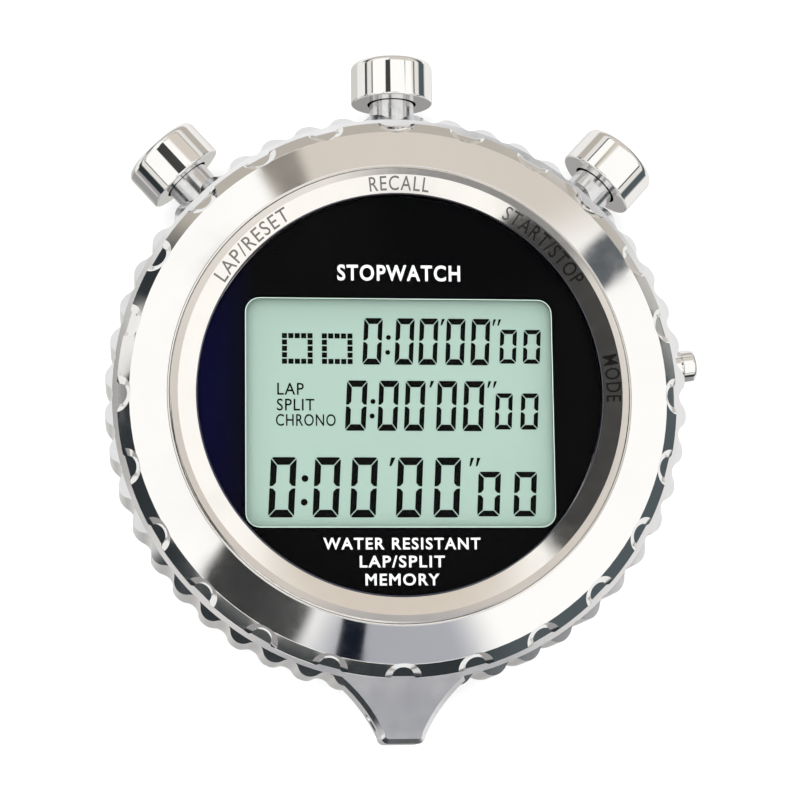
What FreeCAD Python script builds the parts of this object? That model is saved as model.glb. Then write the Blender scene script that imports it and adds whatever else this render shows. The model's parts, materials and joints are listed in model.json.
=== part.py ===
"""Handheld digital stopwatch in a fluted chrome case, lying on its back.

+Z leaves the display, +Y points at the centre pusher and the origin is the middle of the
back cover's outer face. Millimetres throughout.
"""
import FreeCAD, Part
import math
import os

from FreeCAD import Vector

# ---------------------------------------------------------------- overall
CASE_RADIUS = 32.0            # over the lobes of the fluted rim
FRONT_Z = 20.2                # top of the crystal and of the bezel

# ---------------------------------------------------------------- case middle
FLUTE_COUNT = 48
FLUTE_DEPTH = 0.95
LOBE_ROUNDING = 1.5           # radius of the nose of a lobe
CASE_WALL = 4.6
SHOULDER_INSET = 0.85         # chamfer over the lobes, across and down
SHOULDER_DROP = 1.0
RIM_BOTTOM_Z = 8.4            # bottom of the straight fluted wall
CASE_BACK_INSET = 2.8
CASE_BACK_Z = 0.4
CASE_BACK_RIM = 1.1
CASE_BACK_ROUNDING = 0.3
RIM_BOTTOM_ROUNDING = 2.0
REAR_LEDGE_THICKNESS = 3.0
REAR_LEDGE_WIDTH = 3.8

# ---------------------------------------------------------------- lug at six o'clock
LUG_LENGTH = 5.6              # tip beyond the lobes
LUG_TIP_WIDTH = 4.8
LUG_ROOT_WIDTH = 16.4
LUG_ROOT_INSET = 2.2
LUG_SIDE_SAG = 0.6            # hollow of each concave side
LUG_THICKNESS = 6.2
LUG_CHAMFER = 0.5             # in from the sides
LUG_CHAMFER_HEIGHT = 0.6
LUG_TIP_ROUNDING = 0.8
LUG_TO_CAVITY = 1.2           # solid wall left between lug and cavity
LANYARD_HOLE_RADIUS = 1.0
LANYARD_HOLE_FROM_TIP = 2.4

# ---------------------------------------------------------------- front bezel
BEZEL_HEIGHT = 2.45           # seat on the case to the top
BEZEL_SETBACK = 0.5           # ledge of the case left showing
BEZEL_LAND = 0.35             # straight edge above the seat
BAND_RUN = 1.35               # steep notched band, measured inward
RIDGE_DROP = 0.85             # ridge between band and polished cone, below the top
RIDGE_ROUNDING = 0.12
CONE_RUN = 4.3                # polished cone, measured inward
BEZEL_INNER_ROUNDING = 0.25
BEZEL_FLOOR_THICKNESS = 0.7
SKIRT_DEPTH = 1.85
SKIRT_THICKNESS = 0.4
SKIRT_CLEARANCE = 0.05
NOTCH_COUNT = 24
NOTCH_RADIUS = 2.1            # in the face of the band
NOTCH_FLOOR_RADIUS = 1.15
NOTCH_DEPTH = 0.4

# ---------------------------------------------------------------- label ring and crystal
RING_GROOVE = 0.15            # open groove between label ring and bezel
RING_WIDTH = 2.65
RING_LIP_WIDTH = 0.7
RING_LIP_RISE = 0.4           # lip above the crystal
CRYSTAL_CLEARANCE = 0.05
CRYSTAL_SEAT = 0.5            # bezel floor reaching under the crystal
CRYSTAL_THICKNESS = 1.6
CRYSTAL_CHAMFER = 0.22
MASK_THICKNESS = 0.3
MASK_CLEARANCE = 0.05
PRINT_GAP = 0.04              # thickness of the printing between mask and crystal
GASKET_THICKNESS = 0.4

# ---------------------------------------------------------------- display
WINDOW_WIDTH = 33.5
WINDOW_HEIGHT = 25.0
WINDOW_ROUNDING = 1.5
DISPLAY_Y = -1.95             # centre of the window
POLARISER_MARGIN = 0.5        # polariser beyond the window, each side
POLARISER_THICKNESS = 0.2
GLASS_THICKNESS = 0.7
GLASS_MARGIN = 1.0            # display glass beyond the window, each side
CONTACT_LEDGE = 1.8           # front glass beyond the rear glass, top and bottom
REFLECTOR_THICKNESS = 0.25
DISPLAY_TO_BEZEL = 0.1
STRIP_WIDTH = 1.4
STRIP_SIDE_MARGIN = 1.2

# ---------------------------------------------------------------- module
MODULE_CLEARANCE = 0.15       # inside the bezel's skirt
FRAME_CLEARANCE = 0.1         # moulded pockets around what they hold
FRAME_BAR = 2.0               # frame left under the edge of the display
BOARD_THICKNESS = 1.0
BOARD_INSET = 0.9
POCKET_CLEARANCE = 0.6        # room round each stem end and its clip
COMPONENT_BAY_RADIUS = 19.5
BAY_FLOOR_THICKNESS = 0.7
POTTING_RADIUS = 4.4
POTTING_HEIGHT = 1.3
POTTING_PLACE = (-9.0, 9.0)
QUARTZ_RADIUS = 1.0
QUARTZ_LENGTH = 6.0
QUARTZ_PLACE = (9.0, -3.0)
CAPACITOR_SIZE = (2.0, 1.25, 0.9)
CAPACITOR_PLACE = (11.5, 10.5)
MODULE_SCREW_RADIUS = 0.7
MODULE_SCREW_HEAD_RADIUS = 1.3
MODULE_SCREW_HEAD_HEIGHT = 0.8
MODULE_SCREW_CLEARANCE = 0.1
MODULE_SCREW_BITE = 2.0       # thread in the front frame
MODULE_SCREW_GRIP = 2.8       # rear frame left under the head
MODULE_SCREW_INSET = 3.6
MODULE_SCREW_ANGLES = (160.0, 340.0)

# ---------------------------------------------------------------- battery and sounder
CELL_RADIUS = 10.0
CELL_HEIGHT = 3.2
CELL_CAN_STEP = 0.5           # can below the negative cap
CELL_CAP_INSET = 1.3
CELL_EDGE_ROUNDING = 0.3
CELL_Y = -9.8
CELL_CLEARANCE = 0.15
CLIP_THICKNESS = 0.25
CLIP_WIDTH = 6.0
CLIP_OVERHANG = 1.8           # clip beyond the cell, each side
CLIP_CORNER_ROUNDING = 1.0
CONTACT_THICKNESS = 0.15
CONTACT_WIDTH = 3.0
CONTACT_LEAF_LENGTH = 9.5
CONTACT_LEAF_START = 2.0      # past the middle of the cell
INSULATOR_THICKNESS = 0.1
INSULATOR_OVERHANG = 1.0
INSULATOR_TO_CLIP = 0.3
SOUNDER_RADIUS = 10.0
SOUNDER_THICKNESS = 0.2
CERAMIC_RADIUS = 7.0
CERAMIC_THICKNESS = 0.2
SOUNDER_Y = 10.5
SOUNDER_SPRING_RADIUS = 0.9
SOUNDER_SPRING_WIRE = 0.3
SOUNDER_SPRING_TURNS = 9
SOUNDER_SPRING_CLEARANCE = 0.25
SOUNDER_SPRING_X = (-3.0, 8.4)   # one on the ceramic, one on the metal plate

# ---------------------------------------------------------------- back cover
COVER_CLEARANCE = 0.1
COVER_THICKNESS = 1.6
COVER_SPIGOT = 0.8
COVER_EDGE_CHAMFER = 0.4
BACK_GASKET_INSET = 0.4       # groove from the rear opening
BACK_GASKET_WIDTH = 0.9
BACK_GASKET_HEIGHT = 0.7
GASKET_SIDE_CLEARANCE = 0.05
BACK_SCREW_COUNT = 4
BACK_SCREW_INSET = 1.7        # from the cover's edge
BACK_SCREW_RADIUS = 0.7
BACK_SCREW_HEAD_RADIUS = 1.25
BACK_SCREW_HEAD_HEIGHT = 0.8
BACK_SCREW_CLEARANCE = 0.1
BACK_SCREW_BITE = 2.2
BACK_SCREW_FIRST_ANGLE = 45.0
SLOT_WIDTH = 0.35
SLOT_DEPTH = 0.35
SLOT_RUN = 2.2                # length of the slot cut, as a share of the head's radius

# ---------------------------------------------------------------- large pushers
PUSHER_BELOW_FRONT = 7.2
CENTRE_PUSHER_ANGLE = 90.0
SIDE_PUSHER_SPREAD = 42.5
SPOT_FACE_DEPTH = 0.1         # flat cut into the cavity wall behind each tube
SPOT_FACE_MARGIN = 0.4
CAP_RADIUS = 4.6
CAP_STANDOFF = 2.2            # cap above the lobes
CAP_HEIGHT = 4.65
CAP_ROUNDING = 0.75
CAP_RIM_ROUNDING = 0.2
CAP_ROOF = 1.25               # solid metal over the recess
CAP_RECESS_CLEARANCE = 0.25
PUSHER_TRAVEL = 1.5
STEM_RADIUS = 1.2
STEM_CLEARANCE = 0.05
STEM_END_ROUNDING = 0.2
STEM_BEYOND_CLIP = 0.5
SPRING_WIRE = 0.32
SPRING_STEM_CLEARANCE = 0.26
SPRING_WALL_CLEARANCE = 0.17
SPRING_TURNS = 7
TUBE_WALL = 0.55
TUBE_END_ROUNDING = 0.2
TUBE_FLOOR = 2.5              # thickness of the tube's closed-in inner end
ROOF_SPARE = 0.5              # left between tube and cap at full press
O_RING_SECTION = 0.42
O_RING_GROOVE_SPARE = 0.05
O_RING_PLACE = 1.5            # from the tube's inner end
RETAINER_OVERHANG = 0.8
RETAINER_THICKNESS = 0.4
RETAINER_GROOVE_DEPTH = 0.35
RETAINER_MOUTH = 1.1          # open side, as a share of the groove's radius

# ---------------------------------------------------------------- mode button
MODE_ANGLE = 7.5
MODE_CAP_RADIUS = 1.75
MODE_CAP_STANDOFF = 0.6
MODE_CAP_HEIGHT = 1.6
MODE_CAP_ROUNDING = 0.5
MODE_CAP_RIM_ROUNDING = 0.1
MODE_TRAVEL = 0.9
MODE_STEM_RADIUS = 0.7
MODE_SPRING_WIRE = 0.22
MODE_SPRING_STEM_CLEARANCE = 0.19
MODE_SPRING_TURNS = 4
MODE_NECK_OVER_SPRING = 0.14
MODE_NECK_LENGTH = 2.2
MODE_NECK_CLEARANCE = 0.05
MODE_TUBE_WALL = 0.45
MODE_TUBE_FLOOR = 1.1
MODE_TUBE_BELOW_LOBES = 0.7
MODE_RETAINER_GROOVE_DEPTH = 0.25
MODE_O_RING_SECTION = 0.34
MODE_O_RING_PLACE = 0.75      # from the neck's inner end
MODE_WELL_CLEARANCE = 0.3     # round the cap, where the rim is cut away for it

# ---------------------------------------------------------------- switch leaves
LEAF_THICKNESS = 0.15
LEAF_WIDTH = 3.0
LEAF_FOOT = 2.6
LEAF_RISE = 1.7
LEAF_TO_STEM = 0.05           # left between leaf and stem at full press
LEAF_TO_BOARD = 0.05

# ---------------------------------------------------------------- worked-out radii
FLUTE_FLOOR_RADIUS = CASE_RADIUS - FLUTE_DEPTH
CASE_SHOULDER_RADIUS = CASE_RADIUS - SHOULDER_INSET
CAVITY_RADIUS = CASE_RADIUS - CASE_WALL
CASE_BACK_RADIUS = CASE_RADIUS - CASE_BACK_INSET
COVER_RECESS_RADIUS = CASE_BACK_RADIUS - CASE_BACK_RIM
COVER_RADIUS = COVER_RECESS_RADIUS - COVER_CLEARANCE
REAR_OPENING_RADIUS = CAVITY_RADIUS - REAR_LEDGE_WIDTH
BACK_GASKET_RADIUS = (
    REAR_OPENING_RADIUS + BACK_GASKET_INSET + BACK_GASKET_WIDTH / 2 + GASKET_SIDE_CLEARANCE
)
BACK_SCREW_CIRCLE = COVER_RADIUS - BACK_SCREW_INSET
LUG_REACH = CASE_RADIUS + LUG_LENGTH
LUG_ROOT_Y = CASE_RADIUS - LUG_ROOT_INSET
BEZEL_RADIUS = CASE_SHOULDER_RADIUS - BEZEL_SETBACK
BEZEL_RIDGE_RADIUS = BEZEL_RADIUS - BAND_RUN
BEZEL_INNER_RADIUS = BEZEL_RIDGE_RADIUS - CONE_RUN
RING_OUTER_RADIUS = BEZEL_INNER_RADIUS - RING_GROOVE
RING_INNER_RADIUS = RING_OUTER_RADIUS - RING_WIDTH
CRYSTAL_RADIUS = RING_INNER_RADIUS - CRYSTAL_CLEARANCE
BEZEL_OPENING_RADIUS = CRYSTAL_RADIUS - CRYSTAL_SEAT
SKIRT_OUTER_RADIUS = CAVITY_RADIUS - SKIRT_CLEARANCE
SKIRT_INNER_RADIUS = SKIRT_OUTER_RADIUS - SKIRT_THICKNESS
MODULE_RADIUS = SKIRT_INNER_RADIUS - MODULE_CLEARANCE
BOARD_RADIUS = MODULE_RADIUS - BOARD_INSET
MODULE_SCREW_CIRCLE = MODULE_RADIUS - MODULE_SCREW_INSET

# ---------------------------------------------------------------- worked-out levels
LEDGE_BACK_Z = COVER_THICKNESS
LEDGE_FRONT_Z = LEDGE_BACK_Z + REAR_LEDGE_THICKNESS
SPIGOT_Z = COVER_THICKNESS + COVER_SPIGOT
BEZEL_SEAT_Z = FRONT_Z - BEZEL_HEIGHT
RIM_TOP_Z = BEZEL_SEAT_Z - SHOULDER_DROP
LUG_TOP_Z = BEZEL_SEAT_Z
CRYSTAL_Z = FRONT_Z - CRYSTAL_THICKNESS
MASK_TOP_Z = CRYSTAL_Z - PRINT_GAP
MASK_Z = MASK_TOP_Z - MASK_THICKNESS
BEZEL_FLOOR_TOP_Z = MASK_Z - GASKET_THICKNESS
BEZEL_FLOOR_Z = BEZEL_FLOOR_TOP_Z - BEZEL_FLOOR_THICKNESS

POLARISER_TOP_Z = BEZEL_FLOOR_Z - DISPLAY_TO_BEZEL
FRONT_GLASS_TOP_Z = POLARISER_TOP_Z - POLARISER_THICKNESS
REAR_GLASS_TOP_Z = FRONT_GLASS_TOP_Z - GLASS_THICKNESS
REFLECTOR_TOP_Z = REAR_GLASS_TOP_Z - GLASS_THICKNESS
REFLECTOR_Z = REFLECTOR_TOP_Z - REFLECTOR_THICKNESS
GLASS_WIDTH = WINDOW_WIDTH + 2 * GLASS_MARGIN
REAR_GLASS_HEIGHT = WINDOW_HEIGHT + 2 * POLARISER_MARGIN
FRONT_GLASS_HEIGHT = REAR_GLASS_HEIGHT + 2 * CONTACT_LEDGE

PUSHER_Z = FRONT_Z - PUSHER_BELOW_FRONT
BOARD_Z = PUSHER_Z - BOARD_THICKNESS / 2
BOARD_TOP_Z = BOARD_Z + BOARD_THICKNESS
MODULE_SCREW_HEAD_Z = BOARD_Z - MODULE_SCREW_GRIP - MODULE_SCREW_HEAD_HEIGHT
CLIP_Z = LEDGE_FRONT_Z + FRAME_CLEARANCE
CELL_Z = CLIP_Z + CLIP_THICKNESS
CELL_TOP_Z = CELL_Z + CELL_HEIGHT
CELL_POCKET_TOP_Z = CELL_TOP_Z + CONTACT_THICKNESS + FRAME_CLEARANCE
SOUNDER_TOP_Z = SPIGOT_Z + SOUNDER_THICKNESS

# ---------------------------------------------------------------- worked-out pusher sizes
SPOT_FACE_DISTANCE = CAVITY_RADIUS + SPOT_FACE_DEPTH
RETAINER_PLACE = SPOT_FACE_DISTANCE - RETAINER_THICKNESS
STEM_END = RETAINER_PLACE - STEM_BEYOND_CLIP
LEAF_FACE = STEM_END - PUSHER_TRAVEL - LEAF_TO_STEM
BOARD_EDGE_AT_PUSHER = LEAF_FACE - LEAF_THICKNESS - LEAF_TO_BOARD

CAP_BOTTOM = CASE_RADIUS + CAP_STANDOFF
CAP_TOP = CAP_BOTTOM + CAP_HEIGHT
CAP_RECESS_TOP = CAP_TOP - CAP_ROOF
TUBE_TOP = CAP_RECESS_TOP - PUSHER_TRAVEL - ROOF_SPARE
SPRING_RADIUS = STEM_RADIUS + SPRING_STEM_CLEARANCE + SPRING_WIRE / 2
TUBE_COUNTERBORE = SPRING_RADIUS + SPRING_WIRE / 2 + SPRING_WALL_CLEARANCE
TUBE_RADIUS = TUBE_COUNTERBORE + TUBE_WALL
RETAINER_RADIUS = STEM_RADIUS + RETAINER_OVERHANG
SPOT_FACE_RADIUS = TUBE_RADIUS + SPOT_FACE_MARGIN
POCKET_RADIUS = RETAINER_RADIUS + POCKET_CLEARANCE

MODE_STEM_END = LEAF_FACE + LEAF_TO_STEM + MODE_TRAVEL
MODE_CAP_BOTTOM = CASE_RADIUS + MODE_CAP_STANDOFF
MODE_CAP_TOP = MODE_CAP_BOTTOM + MODE_CAP_HEIGHT
MODE_TUBE_TOP = CASE_RADIUS - MODE_TUBE_BELOW_LOBES
MODE_SPRING_RADIUS = MODE_STEM_RADIUS + MODE_SPRING_STEM_CLEARANCE + MODE_SPRING_WIRE / 2
MODE_NECK_RADIUS = MODE_SPRING_RADIUS + MODE_SPRING_WIRE / 2 + MODE_NECK_OVER_SPRING
MODE_COUNTERBORE = MODE_NECK_RADIUS + MODE_NECK_CLEARANCE
MODE_TUBE_RADIUS = MODE_COUNTERBORE + MODE_TUBE_WALL
MODE_RETAINER_RADIUS = MODE_STEM_RADIUS + RETAINER_OVERHANG

LARGE_PUSHERS = (
    ("start_stop", CENTRE_PUSHER_ANGLE - SIDE_PUSHER_SPREAD),
    ("recall", CENTRE_PUSHER_ANGLE),
    ("lap_reset", CENTRE_PUSHER_ANGLE + SIDE_PUSHER_SPREAD),
)
PUSHER_ANGLES = [angle for _, angle in LARGE_PUSHERS] + [MODE_ANGLE]
COIL_STEPS = 16               # straight steps in each turn of a spring
WALL_BORE_MARGIN = 5.0        # wall bores start this far inside the wall and run out of it

SAME_POINT = 1e-6             # ends closer than this need no edge between them
ORIGIN = Vector(0, 0, 0)
UP = Vector(0, 0, 1)
ALONG = Vector(1, 0, 0)


# ---------------------------------------------------------------- drawing helpers
def outline_wire(corners, to_space):
    """Closed wire through (u, v) or (u, v, rounding) corners, with tangent arcs."""
    points = [to_space(corner[0], corner[1]) for corner in corners]
    roundings = [corner[2] if len(corner) > 2 else 0.0 for corner in corners]
    pieces = []
    for index, point in enumerate(points):
        rounding = roundings[index]
        if rounding == 0.0:
            pieces.append((point, None, point))
            continue
        back = (points[index - 1] - point).normalize()
        ahead = (points[(index + 1) % len(points)] - point).normalize()
        half_angle = back.getAngle(ahead) / 2
        reach = rounding / math.tan(half_angle)
        inward = (back + ahead).normalize()
        middle = point + inward * (rounding / math.sin(half_angle) - rounding)
        pieces.append((point + back * reach, middle, point + ahead * reach))
    edges = []
    for index, (enter, middle, leave) in enumerate(pieces):
        if middle is not None:
            edges.append(Part.Arc(enter, middle, leave).toShape())
        following = pieces[(index + 1) % len(pieces)][0]
        if leave.distanceToPoint(following) > SAME_POINT:
            edges.append(Part.LineSegment(leave, following).toShape())
    return Part.Wire(edges)


def lathe(corners):
    """Solid turned about the case axis from (radius, z) corners."""
    wire = outline_wire(corners, lambda radius, z: Vector(radius, 0, z))
    return Part.Face(wire).revolve(ORIGIN, UP, 360)


def turned_along(corners):
    """Solid turned about +X from (distance, radius) corners."""
    wire = outline_wire(corners, lambda distance, radius: Vector(distance, 0, radius))
    return Part.Face(wire).revolve(ORIGIN, ALONG, 360)


def plate(corners, bottom, top):
    """Prism from (x, y) corners between two levels."""
    wire = outline_wire(corners, lambda x, y: Vector(x, y, bottom))
    return Part.Face(wire).extrude(Vector(0, 0, top - bottom))


def block(width, height, bottom, top, centre=(0.0, 0.0), rounding=0.0):
    """Rectangular prism centred on a point in plan."""
    x, y = centre
    corners = []
    for across, along in ((-1, -1), (1, -1), (1, 1), (-1, 1)):
        corners.append((x + across * width / 2, y + along * height / 2, rounding))
    return plate(corners, bottom, top)


def disc(radius, bottom, top, centre=(0.0, 0.0)):
    return Part.makeCylinder(radius, top - bottom, Vector(centre[0], centre[1], bottom))


def rod(radius, start, end):
    return Part.makeCylinder(radius, end - start, Vector(start, 0, 0), ALONG)


def ring(inner, outer, bottom, top):
    return disc(outer, bottom, top).cut(disc(inner, bottom, top))


def coil(radius, wire, turns, length):
    """Compression spring along +Z, standing on z = 0, in short straight steps."""
    count = turns * COIL_STEPS
    rise = (length - wire) / count
    sections = []
    for index in range(count + 1):
        section = Part.Wire(Part.makeCircle(wire / 2, Vector(radius, 0, 0), Vector(0, 1, 0)))
        section.rotate(ORIGIN, UP, 360.0 * index / COIL_STEPS)
        section.translate(Vector(0, 0, wire / 2 + rise * index))
        sections.append(section)
    return Part.makeLoft(sections, True, True)


def polar(circle, angle):
    return (circle * math.cos(math.radians(angle)), circle * math.sin(math.radians(angle)))


def to_pusher(shape, angle):
    """Copy of a shape drawn along +X, set on the pusher axis at an angle."""
    placed = shape.copy()
    placed.translate(Vector(0, 0, PUSHER_Z))
    placed.rotate(ORIGIN, UP, angle)
    return placed


def slotted_screw(radius, head_radius, head_height, length):
    """Cheese-head screw along +Z, head from z = 0 and shank above it."""
    head = Part.makeCylinder(head_radius, head_height)
    shank = Part.makeCylinder(radius, length, Vector(0, 0, head_height))
    slot = block(SLOT_RUN * head_radius, SLOT_WIDTH, 0, SLOT_DEPTH)
    return head.fuse(shank).cut(slot).removeSplitter()


# ---------------------------------------------------------------- case and bezel
def scalloped_prism(bottom, top):
    """Prism whose outline runs over rounded lobes and hollow flutes, tangent to each other."""
    half_pitch = math.radians(180.0 / FLUTE_COUNT)
    lobe_centre = CASE_RADIUS - LOBE_ROUNDING
    cosine = math.cos(half_pitch)
    flute_rounding = (
        LOBE_ROUNDING ** 2 - lobe_centre ** 2 - FLUTE_FLOOR_RADIUS ** 2
        + 2 * lobe_centre * FLUTE_FLOOR_RADIUS * cosine
    ) / (2 * (FLUTE_FLOOR_RADIUS - lobe_centre * cosine - LOBE_ROUNDING))
    flute_centre = FLUTE_FLOOR_RADIUS + flute_rounding
    share = LOBE_ROUNDING / (LOBE_ROUNDING + flute_rounding)

    def at(radius, angle):
        return Vector(radius * math.cos(angle), radius * math.sin(angle), bottom)

    edges = []
    for index in range(FLUTE_COUNT):
        flute = 2 * index * half_pitch
        lobe = flute + half_pitch
        next_flute = lobe + half_pitch
        nose = at(lobe_centre, lobe)
        before = at(lobe_centre, flute - half_pitch)
        entry = before + (at(flute_centre, flute) - before) * share
        leave = nose + (at(flute_centre, flute) - nose) * share
        turn = nose + (at(flute_centre, next_flute) - nose) * share
        edges.append(Part.Arc(entry, at(FLUTE_FLOOR_RADIUS, flute), leave).toShape())
        edges.append(Part.Arc(leave, at(CASE_RADIUS, lobe), turn).toShape())
    return Part.Face(Part.Wire(edges)).extrude(Vector(0, 0, top - bottom))


def lug_outline(inset, level):
    """Outline of the lug at a level, drawn in from its full size."""
    root_half = LUG_ROOT_WIDTH / 2
    tip_half = LUG_TIP_WIDTH / 2
    end_half = tip_half - LUG_TIP_ROUNDING
    shoulder_y = -LUG_REACH + LUG_TIP_ROUNDING
    inner_y = -(CAVITY_RADIUS + LUG_TO_CAVITY)
    bend = (LUG_TIP_ROUNDING - inset) * math.sqrt(0.5)

    def at(x, y):
        return Vector(x, y, level)

    def side(sign):
        root = at(sign * root_half, -LUG_ROOT_Y)
        tip = at(sign * tip_half, shoulder_y)
        outward = Vector(sign * (root.y - tip.y), tip_half - root_half, 0).normalize()
        middle = (root + tip) * 0.5 - outward * (LUG_SIDE_SAG + inset)
        return root - outward * inset, middle, tip - outward * inset

    def corner(sign):
        return at(sign * (end_half + bend), shoulder_y - bend)

    root_r, middle_r, tip_r = side(1)
    root_l, middle_l, tip_l = side(-1)
    end_r = at(end_half, inset - LUG_REACH)
    end_l = at(-end_half, inset - LUG_REACH)
    inner_r = at(root_r.x, inner_y)
    inner_l = at(root_l.x, inner_y)
    edges = [
        Part.Arc(root_r, middle_r, tip_r).toShape(),
        Part.Arc(tip_r, corner(1), end_r).toShape(),
        Part.LineSegment(end_r, end_l).toShape(),
        Part.Arc(end_l, corner(-1), tip_l).toShape(),
        Part.Arc(tip_l, middle_l, root_l).toShape(),
        Part.LineSegment(root_l, inner_l).toShape(),
        Part.LineSegment(inner_l, inner_r).toShape(),
        Part.LineSegment(inner_r, root_r).toShape(),
    ]
    return Part.Wire(edges)


def make_lug():
    """Tapered lug with hollow sides and bevelled faces."""
    bottom = LUG_TOP_Z - LUG_THICKNESS
    levels = (
        (LUG_CHAMFER, bottom),
        (0.0, bottom + LUG_CHAMFER_HEIGHT),
        (0.0, LUG_TOP_Z - LUG_CHAMFER_HEIGHT),
        (LUG_CHAMFER, LUG_TOP_Z),
    )
    outlines = [lug_outline(inset, level) for inset, level in levels]
    lug = Part.makeLoft(outlines, True, True)
    hole_y = -LUG_REACH + LANYARD_HOLE_FROM_TIP
    hole_start = Vector(-LUG_ROOT_WIDTH / 2, hole_y, bottom + LUG_THICKNESS / 2)
    return lug.cut(Part.makeCylinder(LANYARD_HOLE_RADIUS, LUG_ROOT_WIDTH, hole_start, ALONG))


def make_case_middle():
    body = lathe([
        (REAR_OPENING_RADIUS, LEDGE_BACK_Z),
        (COVER_RECESS_RADIUS, LEDGE_BACK_Z),
        (COVER_RECESS_RADIUS, CASE_BACK_Z),
        (CASE_BACK_RADIUS, CASE_BACK_Z, CASE_BACK_ROUNDING),
        (CASE_RADIUS, RIM_BOTTOM_Z, RIM_BOTTOM_ROUNDING),
        (CASE_RADIUS, RIM_TOP_Z),
        (CASE_SHOULDER_RADIUS, BEZEL_SEAT_Z),
        (CAVITY_RADIUS, BEZEL_SEAT_Z),
        (CAVITY_RADIUS, LEDGE_FRONT_Z),
        (REAR_OPENING_RADIUS, LEDGE_FRONT_Z),
    ])
    body = body.common(scalloped_prism(0, FRONT_Z))
    body = body.fuse(make_lug())
    inside = CAVITY_RADIUS - WALL_BORE_MARGIN
    outside = CASE_RADIUS + WALL_BORE_MARGIN
    well_floor = MODE_CAP_BOTTOM - MODE_TRAVEL - MODE_WELL_CLEARANCE
    cuts = [to_pusher(rod(SPOT_FACE_RADIUS, inside, SPOT_FACE_DISTANCE), angle)
            for angle in PUSHER_ANGLES]
    for _, angle in LARGE_PUSHERS:
        cuts.append(to_pusher(rod(TUBE_RADIUS, inside, outside), angle))
    cuts.append(to_pusher(rod(MODE_TUBE_RADIUS, inside, outside), MODE_ANGLE))
    cuts.append(to_pusher(
        rod(MODE_CAP_RADIUS + MODE_WELL_CLEARANCE, well_floor, outside), MODE_ANGLE
    ))
    for angle in back_screw_angles():
        centre = polar(BACK_SCREW_CIRCLE, angle)
        cuts.append(disc(BACK_SCREW_RADIUS, LEDGE_BACK_Z, LEDGE_BACK_Z + BACK_SCREW_BITE, centre))
    half_groove = BACK_GASKET_WIDTH / 2 + GASKET_SIDE_CLEARANCE
    cuts.append(ring(
        BACK_GASKET_RADIUS - half_groove, BACK_GASKET_RADIUS + half_groove,
        LEDGE_BACK_Z, LEDGE_BACK_Z + BACK_GASKET_HEIGHT,
    ))
    return body.cut(cuts).removeSplitter()


def make_front_bezel():
    band_foot_z = BEZEL_SEAT_Z + BEZEL_LAND
    ridge_z = FRONT_Z - RIDGE_DROP
    bezel = lathe([
        (BEZEL_OPENING_RADIUS, BEZEL_FLOOR_Z),
        (SKIRT_INNER_RADIUS, BEZEL_FLOOR_Z),
        (SKIRT_INNER_RADIUS, BEZEL_SEAT_Z - SKIRT_DEPTH),
        (SKIRT_OUTER_RADIUS, BEZEL_SEAT_Z - SKIRT_DEPTH),
        (SKIRT_OUTER_RADIUS, BEZEL_SEAT_Z),
        (BEZEL_RADIUS, BEZEL_SEAT_Z),
        (BEZEL_RADIUS, band_foot_z),
        (BEZEL_RIDGE_RADIUS, ridge_z, RIDGE_ROUNDING),
        (BEZEL_INNER_RADIUS, FRONT_Z, BEZEL_INNER_ROUNDING),
        (BEZEL_INNER_RADIUS, BEZEL_FLOOR_TOP_Z),
        (BEZEL_OPENING_RADIUS, BEZEL_FLOOR_TOP_Z),
    ])
    outward = Vector(ridge_z - band_foot_z, 0, BAND_RUN).normalize()
    foot = Vector(BEZEL_RADIUS, 0, band_foot_z)
    spread = (NOTCH_RADIUS - NOTCH_FLOOR_RADIUS) / NOTCH_DEPTH
    overshoot = NOTCH_DEPTH
    notch = Part.makeCone(
        NOTCH_RADIUS + spread * overshoot, NOTCH_FLOOR_RADIUS, NOTCH_DEPTH + overshoot,
        foot + outward * overshoot, outward * -1,
    )
    notches = []
    for index in range(NOTCH_COUNT):
        copy = notch.copy()
        copy.rotate(ORIGIN, UP, 360.0 * index / NOTCH_COUNT)
        notches.append(copy)
    return bezel.cut(notches)


def make_label_ring():
    lip_z = FRONT_Z + RING_LIP_RISE
    return lathe([
        (RING_INNER_RADIUS, BEZEL_FLOOR_TOP_Z),
        (RING_OUTER_RADIUS, BEZEL_FLOOR_TOP_Z),
        (RING_OUTER_RADIUS, lip_z),
        (RING_OUTER_RADIUS - RING_LIP_WIDTH, lip_z),
        (RING_INNER_RADIUS, FRONT_Z - CRYSTAL_CHAMFER),
    ])


def make_crystal():
    return lathe([
        (0, CRYSTAL_Z),
        (CRYSTAL_RADIUS, CRYSTAL_Z),
        (CRYSTAL_RADIUS, FRONT_Z - CRYSTAL_CHAMFER),
        (CRYSTAL_RADIUS - CRYSTAL_CHAMFER, FRONT_Z),
        (0, FRONT_Z),
    ])


def make_dial_mask():
    mask = disc(CRYSTAL_RADIUS - MASK_CLEARANCE, MASK_Z, MASK_TOP_Z)
    window = block(
        WINDOW_WIDTH, WINDOW_HEIGHT, MASK_Z, MASK_TOP_Z, (0, DISPLAY_Y), WINDOW_ROUNDING
    )
    return mask.cut(window)


def make_crystal_gasket():
    return ring(
        BEZEL_OPENING_RADIUS + MASK_CLEARANCE, CRYSTAL_RADIUS - MASK_CLEARANCE,
        BEZEL_FLOOR_TOP_Z, MASK_Z,
    )


# ---------------------------------------------------------------- back
def back_screw_angles():
    step = 360.0 / BACK_SCREW_COUNT
    return [BACK_SCREW_FIRST_ANGLE + step * index for index in range(BACK_SCREW_COUNT)]


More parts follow.
